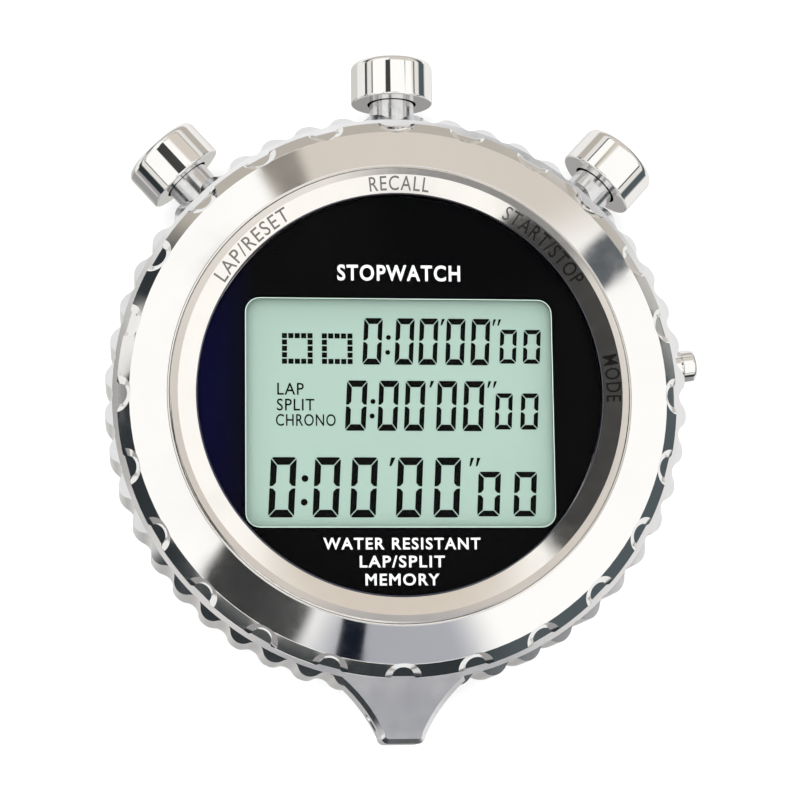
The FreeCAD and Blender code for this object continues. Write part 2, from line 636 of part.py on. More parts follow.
def make_back_cover():
    cover = lathe([
        (0, 0),
        (COVER_RADIUS - COVER_EDGE_CHAMFER, 0),
        (COVER_RADIUS, COVER_EDGE_CHAMFER),
        (COVER_RADIUS, COVER_THICKNESS),
        (REAR_OPENING_RADIUS - COVER_CLEARANCE, COVER_THICKNESS),
        (REAR_OPENING_RADIUS - COVER_CLEARANCE, SPIGOT_Z),
        (0, SPIGOT_Z),
    ])
    holes = []
    head_room = BACK_SCREW_HEAD_RADIUS + BACK_SCREW_CLEARANCE
    for angle in back_screw_angles():
        centre = polar(BACK_SCREW_CIRCLE, angle)
        holes.append(disc(BACK_SCREW_RADIUS + BACK_SCREW_CLEARANCE, 0, COVER_THICKNESS, centre))
        holes.append(disc(head_room, 0, BACK_SCREW_HEAD_HEIGHT + BACK_SCREW_CLEARANCE, centre))
    return cover.cut(holes)


def make_back_screw(angle):
    grip = COVER_THICKNESS - BACK_SCREW_HEAD_HEIGHT - BACK_SCREW_CLEARANCE
    screw = slotted_screw(
        BACK_SCREW_RADIUS, BACK_SCREW_HEAD_RADIUS, BACK_SCREW_HEAD_HEIGHT,
        grip + BACK_SCREW_BITE,
    )
    x, y = polar(BACK_SCREW_CIRCLE, angle)
    screw.rotate(ORIGIN, UP, angle)
    screw.translate(Vector(x, y, BACK_SCREW_CLEARANCE))
    return screw


def make_back_gasket():
    half = BACK_GASKET_WIDTH / 2
    return ring(
        BACK_GASKET_RADIUS - half, BACK_GASKET_RADIUS + half,
        LEDGE_BACK_Z, LEDGE_BACK_Z + BACK_GASKET_HEIGHT,
    )


# ---------------------------------------------------------------- display and module
def make_strip(sign):
    y = DISPLAY_Y + sign * (FRONT_GLASS_HEIGHT / 2 - CONTACT_LEDGE / 2)
    return block(
        GLASS_WIDTH - 2 * STRIP_SIDE_MARGIN, STRIP_WIDTH, BOARD_TOP_Z, REAR_GLASS_TOP_Z, (0, y)
    )


def stem_pockets(start):
    """Radial clearances for the four stem ends, from a distance outward."""
    pocket = rod(POCKET_RADIUS, start, CASE_RADIUS)
    return [to_pusher(pocket, angle) for angle in PUSHER_ANGLES]


def module_screw_holes(radius, bottom, top):
    holes = []
    for angle in MODULE_SCREW_ANGLES:
        holes.append(disc(radius, bottom, top, polar(MODULE_SCREW_CIRCLE, angle)))
    return holes


def make_module_frame_front():
    gap = 2 * FRAME_CLEARANCE
    frame = disc(MODULE_RADIUS, BOARD_TOP_Z, POLARISER_TOP_Z)
    centre = (0, DISPLAY_Y)
    cuts = [
        block(GLASS_WIDTH + gap, FRONT_GLASS_HEIGHT + gap, REAR_GLASS_TOP_Z, POLARISER_TOP_Z, centre),
        block(GLASS_WIDTH + gap, REAR_GLASS_HEIGHT + gap, REFLECTOR_Z, POLARISER_TOP_Z, centre),
        block(
            WINDOW_WIDTH - 2 * FRAME_BAR, WINDOW_HEIGHT - 2 * FRAME_BAR,
            BOARD_TOP_Z, REFLECTOR_Z, centre,
        ),
    ]
    for sign in (-1, 1):
        y = DISPLAY_Y + sign * (FRONT_GLASS_HEIGHT / 2 - CONTACT_LEDGE / 2)
        length = GLASS_WIDTH - 2 * STRIP_SIDE_MARGIN + gap
        cuts.append(block(length, STRIP_WIDTH + gap, BOARD_TOP_Z, REAR_GLASS_TOP_Z, (0, y)))
    cuts += stem_pockets(LEAF_FACE - LEAF_THICKNESS - 2 * FRAME_CLEARANCE)
    cuts += module_screw_holes(MODULE_SCREW_RADIUS, BOARD_TOP_Z, BOARD_TOP_Z + MODULE_SCREW_BITE)
    return frame.cut(cuts).removeSplitter()


def make_module_frame_rear():
    frame = disc(MODULE_RADIUS, LEDGE_FRONT_Z, BOARD_Z)
    gap = 2 * FRAME_CLEARANCE
    cuts = [
        disc(COMPONENT_BAY_RADIUS, CELL_POCKET_TOP_Z + BAY_FLOOR_THICKNESS, BOARD_Z),
        disc(CELL_RADIUS + CELL_CLEARANCE, LEDGE_FRONT_Z, CELL_POCKET_TOP_Z, (0, CELL_Y)),
        block(clip_length() + gap, CLIP_WIDTH + gap, LEDGE_FRONT_Z, CELL_Z, (0, CELL_Y)),
        block(CONTACT_WIDTH + gap, CONTACT_WIDTH, CELL_TOP_Z, BOARD_Z, (0, contact_end())),
    ]
    spring_bore = SOUNDER_SPRING_RADIUS + SOUNDER_SPRING_WIRE / 2 + SOUNDER_SPRING_CLEARANCE
    for x in SOUNDER_SPRING_X:
        cuts.append(disc(spring_bore, LEDGE_FRONT_Z, BOARD_Z, (x, SOUNDER_Y)))
    cuts += stem_pockets(LEAF_FACE - LEAF_FOOT - 2 * FRAME_CLEARANCE)
    head_room = MODULE_SCREW_HEAD_RADIUS + MODULE_SCREW_CLEARANCE
    shank_room = MODULE_SCREW_RADIUS + MODULE_SCREW_CLEARANCE
    head_top = MODULE_SCREW_HEAD_Z + MODULE_SCREW_HEAD_HEIGHT
    cuts += module_screw_holes(head_room, LEDGE_FRONT_Z, head_top)
    cuts += module_screw_holes(shank_room, head_top, BOARD_Z)
    return frame.cut(cuts).removeSplitter()


def make_circuit_board():
    board = disc(BOARD_RADIUS, BOARD_Z, BOARD_TOP_Z)
    shank_room = MODULE_SCREW_RADIUS + MODULE_SCREW_CLEARANCE
    cuts = module_screw_holes(shank_room, BOARD_Z, BOARD_TOP_Z)
    cuts += stem_pockets(BOARD_EDGE_AT_PUSHER)
    return board.cut(cuts)


def make_module_screw(angle):
    length = MODULE_SCREW_GRIP + BOARD_THICKNESS + MODULE_SCREW_BITE
    screw = slotted_screw(
        MODULE_SCREW_RADIUS, MODULE_SCREW_HEAD_RADIUS, MODULE_SCREW_HEAD_HEIGHT, length
    )
    x, y = polar(MODULE_SCREW_CIRCLE, angle)
    screw.translate(Vector(x, y, MODULE_SCREW_HEAD_Z))
    return screw


def make_potting():
    """Resin dome over the controller, hanging under the board."""
    sphere_radius = (POTTING_RADIUS ** 2 + POTTING_HEIGHT ** 2) / (2 * POTTING_HEIGHT)
    x, y = POTTING_PLACE
    centre = Vector(x, y, BOARD_Z - POTTING_HEIGHT + sphere_radius)
    ball = Part.makeSphere(sphere_radius, centre)
    return ball.common(disc(POTTING_RADIUS + 1, BOARD_Z - POTTING_HEIGHT - 1, BOARD_Z, (x, y)))


def make_quartz():
    x, y = QUARTZ_PLACE
    start = Vector(x - QUARTZ_LENGTH / 2, y, BOARD_Z - QUARTZ_RADIUS)
    return Part.makeCylinder(QUARTZ_RADIUS, QUARTZ_LENGTH, start, ALONG)


def make_capacitor():
    width, depth, height = CAPACITOR_SIZE
    return block(width, depth, BOARD_Z - height, BOARD_Z, CAPACITOR_PLACE)


def make_switch_leaf(angle):
    """Bent strip soldered under the board, standing in front of a stem."""
    inner = LEAF_FACE - LEAF_FOOT
    foot_z = BOARD_Z - LEAF_THICKNESS - PUSHER_Z
    foot = Part.makeBox(LEAF_FOOT, LEAF_WIDTH, LEAF_THICKNESS, Vector(inner, -LEAF_WIDTH / 2, foot_z))
    tall = Part.makeBox(
        LEAF_THICKNESS, LEAF_WIDTH, LEAF_RISE + LEAF_THICKNESS,
        Vector(LEAF_FACE - LEAF_THICKNESS, -LEAF_WIDTH / 2, foot_z),
    )
    return to_pusher(foot.fuse(tall).removeSplitter(), angle)


# ---------------------------------------------------------------- battery and sounder
def make_coin_cell():
    cell = lathe([
        (0, CELL_Z),
        (CELL_RADIUS, CELL_Z, CELL_EDGE_ROUNDING),
        (CELL_RADIUS, CELL_TOP_Z - CELL_CAN_STEP),
        (CELL_RADIUS - CELL_CAP_INSET, CELL_TOP_Z - CELL_CAN_STEP),
        (CELL_RADIUS - CELL_CAP_INSET, CELL_TOP_Z),
        (0, CELL_TOP_Z),
    ])
    cell.translate(Vector(0, CELL_Y, 0))
    return cell


def contact_end():
    return CELL_Y - CONTACT_LEAF_START + CONTACT_LEAF_LENGTH


def make_battery_contact():
    """Leaf on the cell's negative face, with a leg up to the board."""
    left = -CONTACT_WIDTH / 2
    leaf = Part.makeBox(
        CONTACT_WIDTH, CONTACT_LEAF_LENGTH, CONTACT_THICKNESS,
        Vector(left, CELL_Y - CONTACT_LEAF_START, CELL_TOP_Z),
    )
    leg = Part.makeBox(
        CONTACT_WIDTH, CONTACT_THICKNESS, BOARD_Z - CELL_TOP_Z,
        Vector(left, contact_end() - CONTACT_THICKNESS, CELL_TOP_Z),
    )
    return leaf.fuse(leg).removeSplitter()


def clip_length():
    return 2 * (CELL_RADIUS + CLIP_OVERHANG)


def make_battery_clip():
    return block(clip_length(), CLIP_WIDTH, CLIP_Z, CELL_Z, (0, CELL_Y), CLIP_CORNER_ROUNDING)


def make_battery_insulator():
    top = CLIP_Z - INSULATOR_TO_CLIP
    radius = CELL_RADIUS + INSULATOR_OVERHANG
    return disc(radius, top - INSULATOR_THICKNESS, top, (0, CELL_Y))


def make_sounder_spring(x):
    standing_z = SOUNDER_TOP_Z
    if abs(x) < CERAMIC_RADIUS:
        standing_z += CERAMIC_THICKNESS
    spring = coil(
        SOUNDER_SPRING_RADIUS, SOUNDER_SPRING_WIRE, SOUNDER_SPRING_TURNS, BOARD_Z - standing_z
    )
    spring.translate(Vector(x, SOUNDER_Y, standing_z))
    return spring


# ---------------------------------------------------------------- pushers
def o_ring(distance, outer_radius, section):
    return Part.makeTorus(outer_radius - section / 2, section / 2, Vector(distance, 0, 0), ALONG)


def retainer(place, radius, groove_radius):
    """Open ring snapped into the stem's groove."""
    body = rod(radius, place, place + RETAINER_THICKNESS)
    hole = rod(groove_radius, place, place + RETAINER_THICKNESS)
    mouth = Part.makeBox(
        RETAINER_THICKNESS, RETAINER_MOUTH * groove_radius, radius,
        Vector(place, -RETAINER_MOUTH * groove_radius / 2, -radius),
    )
    return body.cut([hole, mouth])


def spring_along(radius, wire, turns, start, end):
    spring = coil(radius, wire, turns, end - start)
    spring.rotate(ORIGIN, Vector(0, 1, 0), 90)
    spring.translate(Vector(start, 0, 0))
    return spring


def large_pusher():
    """Cap, guide tube, spring, seal and retainer, drawn along +X."""
    tube_inner = SPOT_FACE_DISTANCE
    spring_seat = tube_inner + TUBE_FLOOR
    seal_place = tube_inner + O_RING_PLACE
    groove_half = O_RING_SECTION / 2 + O_RING_GROOVE_SPARE
    bore = STEM_RADIUS + STEM_CLEARANCE
    groove_radius = bore - O_RING_SECTION - O_RING_GROOVE_SPARE
    clip_radius = STEM_RADIUS - RETAINER_GROOVE_DEPTH
    recess_radius = TUBE_RADIUS + CAP_RECESS_CLEARANCE
    cap = turned_along([
        (STEM_END, 0),
        (STEM_END, STEM_RADIUS, STEM_END_ROUNDING),
        (RETAINER_PLACE, STEM_RADIUS),
        (RETAINER_PLACE, clip_radius),
        (RETAINER_PLACE + RETAINER_THICKNESS, clip_radius),
        (RETAINER_PLACE + RETAINER_THICKNESS, STEM_RADIUS),
        (seal_place - groove_half, STEM_RADIUS),
        (seal_place - groove_half, groove_radius),
        (seal_place + groove_half, groove_radius),
        (seal_place + groove_half, STEM_RADIUS),
        (CAP_RECESS_TOP, STEM_RADIUS),
        (CAP_RECESS_TOP, recess_radius),
        (CAP_BOTTOM, recess_radius),
        (CAP_BOTTOM, CAP_RADIUS, CAP_RIM_ROUNDING),
        (CAP_TOP, CAP_RADIUS, CAP_ROUNDING),
        (CAP_TOP, 0),
    ])
    tube = turned_along([
        (tube_inner, bore),
        (tube_inner, TUBE_RADIUS),
        (TUBE_TOP, TUBE_RADIUS, TUBE_END_ROUNDING),
        (TUBE_TOP, TUBE_COUNTERBORE),
        (spring_seat, TUBE_COUNTERBORE),
        (spring_seat, bore),
    ])
    return {
        "cap": cap,
        "tube": tube,
        "spring": spring_along(SPRING_RADIUS, SPRING_WIRE, SPRING_TURNS, spring_seat, CAP_RECESS_TOP),
        "seal": o_ring(seal_place, bore, O_RING_SECTION),
        "retainer": retainer(RETAINER_PLACE, RETAINER_RADIUS, clip_radius),
    }


def mode_pusher():
    """Small recessed button with the same kind of parts, drawn along +X."""
    tube_inner = SPOT_FACE_DISTANCE
    spring_seat = tube_inner + MODE_TUBE_FLOOR
    neck_start = MODE_CAP_BOTTOM - MODE_NECK_LENGTH
    seal_place = neck_start + MODE_O_RING_PLACE
    groove_half = MODE_O_RING_SECTION / 2 + O_RING_GROOVE_SPARE
    groove_radius = MODE_COUNTERBORE - MODE_O_RING_SECTION - O_RING_GROOVE_SPARE
    clip_radius = MODE_STEM_RADIUS - MODE_RETAINER_GROOVE_DEPTH
    cap = turned_along([
        (MODE_STEM_END, 0),
        (MODE_STEM_END, MODE_STEM_RADIUS),
        (RETAINER_PLACE, MODE_STEM_RADIUS),
        (RETAINER_PLACE, clip_radius),
        (RETAINER_PLACE + RETAINER_THICKNESS, clip_radius),
        (RETAINER_PLACE + RETAINER_THICKNESS, MODE_STEM_RADIUS),
        (neck_start, MODE_STEM_RADIUS),
        (neck_start, MODE_NECK_RADIUS),
        (seal_place - groove_half, MODE_NECK_RADIUS),
        (seal_place - groove_half, groove_radius),
        (seal_place + groove_half, groove_radius),
        (seal_place + groove_half, MODE_NECK_RADIUS),
        (MODE_CAP_BOTTOM, MODE_NECK_RADIUS),
        (MODE_CAP_BOTTOM, MODE_CAP_RADIUS, MODE_CAP_RIM_ROUNDING),
        (MODE_CAP_TOP, MODE_CAP_RADIUS, MODE_CAP_ROUNDING),
        (MODE_CAP_TOP, 0),
    ])
    bore = MODE_STEM_RADIUS + STEM_CLEARANCE
    tube = turned_along([
        (tube_inner, bore),
        (tube_inner, MODE_TUBE_RADIUS),
        (MODE_TUBE_TOP, MODE_TUBE_RADIUS),
        (MODE_TUBE_TOP, MODE_COUNTERBORE),
        (spring_seat, MODE_COUNTERBORE),
        (spring_seat, bore),
    ])
    return {
        "cap": cap,
        "tube": tube,
        "spring": spring_along(
            MODE_SPRING_RADIUS, MODE_SPRING_WIRE, MODE_SPRING_TURNS, spring_seat, neck_start
        ),
        "seal": o_ring(seal_place, MODE_COUNTERBORE, MODE_O_RING_SECTION),
        "retainer": retainer(RETAINER_PLACE, MODE_RETAINER_RADIUS, clip_radius),
    }


def all_parts():
    window = (0, DISPLAY_Y)
    polariser_width = WINDOW_WIDTH + 2 * POLARISER_MARGIN
    polariser_height = WINDOW_HEIGHT + 2 * POLARISER_MARGIN
    parts = {
        "case_middle": make_case_middle(),
        "front_bezel": make_front_bezel(),
        "label_ring": make_label_ring(),
        "crystal": make_crystal(),
        "crystal_gasket": make_crystal_gasket(),
        "dial_mask": make_dial_mask(),
        "back_cover": make_back_cover(),
        "back_gasket": make_back_gasket(),
        "lcd_polariser": block(
            polariser_width, polariser_height, FRONT_GLASS_TOP_Z, POLARISER_TOP_Z, window
        ),
        "lcd_front_glass": block(
            GLASS_WIDTH, FRONT_GLASS_HEIGHT, REAR_GLASS_TOP_Z, FRONT_GLASS_TOP_Z, window
        ),
        "lcd_rear_glass": block(
            GLASS_WIDTH, REAR_GLASS_HEIGHT, REFLECTOR_TOP_Z, REAR_GLASS_TOP_Z, window
        ),
        "lcd_reflector": block(
            polariser_width, polariser_height, REFLECTOR_Z, REFLECTOR_TOP_Z, window
        ),
        "contact_strip_upper": make_strip(1),
        "contact_strip_lower": make_strip(-1),
        "module_frame_front": make_module_frame_front(),
        "module_frame_rear": make_module_frame_rear(),
        "circuit_board": make_circuit_board(),
        "controller_potting": make_potting(),
        "quartz_can": make_quartz(),
        "smd_capacitor": make_capacitor(),
        "coin_cell": make_coin_cell(),
        "battery_clip": make_battery_clip(),
        "battery_contact": make_battery_contact(),
        "battery_insulator": make_battery_insulator(),
        "sounder_plate": disc(SOUNDER_RADIUS, SPIGOT_Z, SOUNDER_TOP_Z, (0, SOUNDER_Y)),
        "sounder_ceramic": disc(
            CERAMIC_RADIUS, SOUNDER_TOP_Z, SOUNDER_TOP_Z + CERAMIC_THICKNESS, (0, SOUNDER_Y)
        ),
    }
    for number, angle in enumerate(back_screw_angles(), 1):
        parts[f"back_screw_{number}"] = make_back_screw(angle)
    for number, angle in enumerate(MODULE_SCREW_ANGLES, 1):
        parts[f"module_screw_{number}"] = make_module_screw(angle)
    for number, x in enumerate(SOUNDER_SPRING_X, 1):
        parts[f"sounder_spring_{number}"] = make_sounder_spring(x)
    pushers = [(name, angle, large_pusher()) for name, angle in LARGE_PUSHERS]
    pushers.append(("mode", MODE_ANGLE, mode_pusher()))
    for name, angle, pieces in pushers:
        parts[f"{name}_switch_leaf"] = make_switch_leaf(angle)
        for piece, shape in pieces.items():
            parts[f"{name}_{piece}"] = to_pusher(shape, angle)
    return parts


def main():
    os.makedirs("parts", exist_ok=True)
    for node, shape in all_parts().items():
        solids = shape.Solids
        assert len(solids) == 1, f"{node}: {len(solids)} solids"
        assert shape.isValid(), f"{node} is not valid"
        solids[0].exportStep(f"parts/{node}.step")


main()
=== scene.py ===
import json
import math

import bpy
from mathutils import Euler, Matrix, Vector


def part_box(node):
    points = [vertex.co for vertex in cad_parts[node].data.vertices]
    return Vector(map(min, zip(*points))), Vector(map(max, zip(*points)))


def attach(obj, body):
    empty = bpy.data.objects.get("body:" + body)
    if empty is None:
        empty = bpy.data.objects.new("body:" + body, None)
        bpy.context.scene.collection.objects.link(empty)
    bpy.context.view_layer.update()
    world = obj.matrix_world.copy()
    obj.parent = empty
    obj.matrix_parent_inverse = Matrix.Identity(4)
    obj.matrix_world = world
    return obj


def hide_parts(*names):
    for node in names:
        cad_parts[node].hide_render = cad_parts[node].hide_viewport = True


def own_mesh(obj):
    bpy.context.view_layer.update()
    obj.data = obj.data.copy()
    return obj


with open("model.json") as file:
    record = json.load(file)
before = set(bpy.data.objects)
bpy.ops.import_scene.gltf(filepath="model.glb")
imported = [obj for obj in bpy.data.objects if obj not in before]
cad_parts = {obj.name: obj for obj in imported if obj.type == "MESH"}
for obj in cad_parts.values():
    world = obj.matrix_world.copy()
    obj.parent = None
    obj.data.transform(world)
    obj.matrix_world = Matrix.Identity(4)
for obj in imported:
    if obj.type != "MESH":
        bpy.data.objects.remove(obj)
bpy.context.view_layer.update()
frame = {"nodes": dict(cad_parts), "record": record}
MM = 0.001

# ------------------------------------------------------------------ levels, from the CAD nodes
GLASS_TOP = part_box("crystal")[1].z
GLASS_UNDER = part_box("crystal")[0].z
MASK_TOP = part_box("dial_mask")[1].z
POLARISER_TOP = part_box("lcd_polariser")[1].z
GLASS_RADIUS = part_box("crystal")[1].x
RING_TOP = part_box("label_ring")[1].z
RING_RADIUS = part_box("label_ring")[1].x
CHAMFER = 0.22 * MM               # round the edge of the crystal
RING_LIP = 0.7 * MM               # width of the label ring's raised lip
RING_BORE = GLASS_RADIUS + 0.05 * MM
INK_THICKNESS = 0.015 * MM        # letters stand this far off the label ring


# ------------------------------------------------------------------ node helpers
class Shader:
    """A node tree with short ways to add and join nodes."""

    def __init__(self, tree):
        self.tree = tree
        tree.nodes.clear()

    def node(self, kind, **settings):
        node = self.tree.nodes.new(kind)
        for key, value in settings.items():
            setattr(node, key, value)
        return node

    def put(self, socket, value):
        if isinstance(value, bpy.types.NodeSocket):
            self.tree.links.new(value, socket)
        elif value is not None:
            socket.default_value = value

    def math(self, operation, first, second=None):
        node = self.node("ShaderNodeMath", operation=operation)
        self.put(node.inputs[0], first)
        self.put(node.inputs[1], second)
        return node.outputs[0]

    def ramp(self, value, low, high, start=0.0, end=1.0):
        """Smooth change from start to end as the value goes from low to high."""
        node = self.node("ShaderNodeMapRange", interpolation_type="SMOOTHSTEP")
        for socket, item in zip(node.inputs, (value, low, high, start, end)):
            self.put(socket, item)
        return node.outputs[0]

    def mix(self, factor, first, second):
        """Colour between two; the node's first sockets are for numbers and vectors."""
        node = self.node("ShaderNodeMix", data_type="RGBA")
        self.put(node.inputs["Factor"], factor)
        self.put(node.inputs[6], first)
        self.put(node.inputs[7], second)
        return node.outputs[2]

    def split(self, vector):
        node = self.node("ShaderNodeSeparateXYZ")
        self.put(node.inputs[0], vector)
        return node.outputs

    def join(self, x, y, z):
        node = self.node("ShaderNodeCombineXYZ")
        for socket, item in zip(node.inputs, (x, y, z)):
            self.put(socket, item)
        return node.outputs[0]

    def noise(self, vector, scale, detail=3.0, roughness=0.5):
        node = self.node("ShaderNodeTexNoise")
        self.put(node.inputs["Vector"], vector)
        self.put(node.inputs["Scale"], scale)
        self.put(node.inputs["Detail"], detail)
        self.put(node.inputs["Roughness"], roughness)
        return node.outputs["Fac"]

    def bump(self, height, depth, normal=None):
        node = self.node("ShaderNodeBump")
        self.put(node.inputs["Strength"], 1.0)
        self.put(node.inputs["Distance"], depth)
        self.put(node.inputs["Height"], height)
        self.put(node.inputs["Normal"], normal)
        return node.outputs[0]

    def coordinates(self):
        return self.node("ShaderNodeTexCoord").outputs["Object"]


LENGTHWISE = 0.03                 # straight tool lines change this much slower along X
SMUDGES_PER_PATCH = 2.3


def shade(color, factor):
    return tuple(min(1.0, channel * factor) for channel in color[:3]) + (1.0,)


def tool_lines(shader, where, kind, count, angle):
    """Coordinates stretched along the marks of a tool."""
    if kind == "turned":
        turn = shader.node("ShaderNodeMapping", vector_type="TEXTURE")
        shader.put(turn.inputs["Vector"], where)
        shader.put(turn.inputs["Rotation"], (0.0, 0.0, math.radians(angle)))
        x = shader.split(turn.outputs[0])[0]
        return shader.join(shader.math("MULTIPLY", x, count), 0.0, 0.0)
    x, y, z = shader.split(where)
    upward = shader.math("MULTIPLY", z, count)
    if kind == "round":
        square = shader.math("ADD", shader.math("MULTIPLY", x, x), shader.math("MULTIPLY", y, y))
        reach = shader.math("SQRT", square)
        return shader.join(shader.math("MULTIPLY", reach, count), 0.0, upward)
    return shader.join(
        shader.math("MULTIPLY", x, count * LENGTHWISE), shader.math("MULTIPLY", y, count), upward
    )


def shaded_surface(name, color, metallic=0.0, roughness=(0.3, 0.4), spread=0.06, patch=250.0,
                   grain=None, lines=None, **sockets):
    """A material with patchy colour and roughness, and grain or tool lines for its bump.

    grain is (cells per metre, depth); lines is (kind, lines per metre, depth, angle), where kind
    is "round" about the object's axis, "turned" about a pusher's axis, or "straight" along X.
    Other sockets of the shader are given by name. Returns the material, its Shader and the node.
    """
    material = bpy.data.materials.new(name)
    material.use_nodes = True
    shader = Shader(material.node_tree)
    where = shader.coordinates()
    patches = shader.noise(where, patch, 4.0, 0.6)
    output = shader.node("ShaderNodeOutputMaterial")
    main = shader.node("ShaderNodeBsdfPrincipled")
    tone = shader.ramp(patches, 0.25, 0.75)
    shader.put(
        main.inputs["Base Color"],
        shader.mix(tone, shade(color, 1.0 - spread), shade(color, 1.0 + spread)),
    )
    shader.put(main.inputs["Metallic"], metallic)
    smudges = shader.noise(where, patch * SMUDGES_PER_PATCH, 5.0, 0.65)
    shader.put(
        main.inputs["Roughness"], shader.ramp(smudges, 0.3, 0.7, roughness[0], roughness[1])
    )
    normal = None
    if grain:
        normal = shader.bump(shader.noise(where, grain[0], 3.0, 0.6), grain[1])
    if lines:
        kind, count, depth, angle = lines
        along = tool_lines(shader, where, kind, count, angle)
        normal = shader.bump(shader.noise(along, 1.0, 2.0, 0.7), depth, normal)
    shader.put(main.inputs["Normal"], normal)
    for key, value in sockets.items():
        main.inputs[key.replace("_", " ")].default_value = value
    shader.put(output.inputs["Surface"], main.outputs[0])
    return material, shader, main


def surface(*settings, **options):
    """The material alone, for a surface that needs no more nodes."""
    return shaded_surface(*settings, **options)[0]


# ------------------------------------------------------------------ materials for the record's slots
def chrome(name, color, low, high):
    return surface(
        name, color, 1.0, (low, high), spread=0.015, patch=90.0, grain=(2600.0, 1.2e-7),
    )


def dial_print_with_painted_reflection():
    """Black lacquer with a painted reflection: a very dark navy tint towards the left edge."""
    material, shader, main = shaded_surface(
        "dial_print_with_painted_reflection", (0.0016, 0.0016, 0.002), 0.0, (0.42, 0.55), grain=(9000.0, 4e-7),
        Specular_IOR_Level=0.02,
    )
    # painted reflection: navy at the left edge, fading to black further right
    x = shader.split(shader.coordinates())[0]
    shader.put(main.inputs["Base Color"], shader.mix(
        shader.ramp(x, -22 * MM, -15 * MM),
        (0.0006, 0.0006, 0.020, 1.0), (0.0005, 0.0005, 0.0007, 1.0),
    ))
    return material


def clear_glass(name, color, alpha):
    material = surface(
        name, color, 0.0, (0.015, 0.05), patch=60.0, grain=(1500.0, 5e-8), Alpha=alpha,
        Specular_IOR_Level=0.5,
    )
    material.surface_render_method = "BLENDED"
    return material


SLOT_FINISHES = {
    "polished_chrome": chrome("polished_chrome_v", (0.93, 0.925, 0.915), 0.035, 0.075),
    "case_chrome": chrome("case_chrome_v", (0.86, 0.87, 0.89), 0.10, 0.17),
    "satin_steel": surface(
        "satin_steel_v", (0.92, 0.895, 0.86), 1.0, (0.05, 0.09), spread=0.02,
        lines=("round", 16000.0, 2.5e-7, 0.0),
    ),
    "screw_steel": surface(
        "screw_steel_v", (0.68, 0.68, 0.70), 1.0, (0.16, 0.3), patch=900.0,
        grain=(5200.0, 1.5e-6),
    ),
    "crystal_glass": clear_glass("crystal_glass_v", (0.002, 0.002, 0.003), 0.06),
    "display_glass": clear_glass("display_glass_v", (0.75, 0.85, 0.8), 0.12),
    "polariser_film": surface(
        "polariser_film_v", (0.340, 0.467, 0.405), 0.0, (0.5, 0.62), spread=0.012, patch=70.0,
        grain=(14000.0, 3e-7), Specular_IOR_Level=0.2,
    ),
    "reflector_film": surface(
        "reflector_film_v", (0.62, 0.68, 0.64), 0.6, (0.3, 0.5), grain=(9000.0, 1.5e-6),
    ),
    "black_print": dial_print_with_painted_reflection(),
    "seal_rubber": surface(
        "seal_rubber_v", (0.02, 0.02, 0.022), 0.0, (0.6, 0.8), grain=(6000.0, 5e-6),
    ),
    "contact_rubber": surface(
        "contact_rubber_v", (0.1, 0.1, 0.11), 0.0, (0.55, 0.75), grain=(5000.0, 4e-6),
        lines=("straight", 9000.0, 3e-6, 0.0),
    ),
    "module_plastic": surface(
        "module_plastic_v", (0.03, 0.03, 0.033), 0.0, (0.45, 0.6), grain=(3500.0, 8e-6),
    ),
    "board_laminate": surface(
        "board_laminate_v", (0.02, 0.16, 0.07), 0.0, (0.3, 0.45), spread=0.2,
        lines=("straight", 2500.0, 6e-6, 0.0),
    ),
    "potting_resin": surface(
        "potting_resin_v", (0.012, 0.012, 0.012), 0.0, (0.15, 0.35), grain=(900.0, 2e-5),
    ),
    "can_metal": surface(
        "can_metal_v", (0.72, 0.72, 0.72), 1.0, (0.2, 0.35), patch=800.0,
        grain=(4000.0, 2e-6),
    ),
    "capacitor_body": surface(
        "capacitor_body_v", (0.5, 0.36, 0.22), 0.0, (0.4, 0.6), grain=(6000.0, 4e-6),
    ),
    "cell_steel": surface(
        "cell_steel_v", (0.75, 0.75, 0.76), 1.0, (0.18, 0.3), grain=(5000.0, 1.5e-6),
        lines=("straight", 14000.0, 1e-6, 0.0),
    ),
    "spring_steel": surface(
        "spring_steel_v", (0.6, 0.6, 0.62), 1.0, (0.2, 0.35), patch=900.0,
        grain=(7000.0, 1e-6),
    ),
    "insulator_film": surface(
        "insulator_film_v", (0.75, 0.6, 0.25), 0.0, (0.3, 0.45), grain=(4000.0, 2e-6),
    ),
    "sounder_brass": surface(
        "sounder_brass_v", (0.78, 0.6, 0.28), 1.0, (0.2, 0.4), lines=("straight", 9000.0, 2e-6, 0.0),
    ),
    "ceramic": surface(
        "ceramic_v", (0.78, 0.77, 0.73), 0.0, (0.5, 0.7), spread=0.1, grain=(5000.0, 4e-6),
    ),
}
PUSHER_ANGLES = {"start_stop": 47.5, "recall": 90.0, "lap_reset": 132.5, "mode": 7.5}


def tube_finish(name, angle):
    return surface(
        name, (0.72, 0.72, 0.73), 1.0, (0.14, 0.24), patch=700.0,
        lines=("turned", 14000.0, 1.5e-6, angle),
    )


TUBE_FINISHES = {
    key + "_tube": tube_finish(key + "_tube_v", angle) for key, angle in PUSHER_ANGLES.items()
}

slot_of = {part["node"]: part["material_slot"] for part in frame["record"]["subparts"]}
for node_name, node in frame["nodes"].items():
    finish = TUBE_FINISHES.get(node_name) or SLOT_FINISHES[slot_of[node_name]]
    if not node.material_slots:
        node.data.materials.append(finish)
    for material_slot in node.material_slots:
        material_slot.material = finish


# ------------------------------------------------------------------ printed pieces
def flat_ink(name, color, gloss=(0.45, 0.6)):
    return surface(name, color, 0.0, gloss, spread=0.04, patch=1500.0, grain=(16000.0, 4e-7),
                   Specular_IOR_Level=0.04)


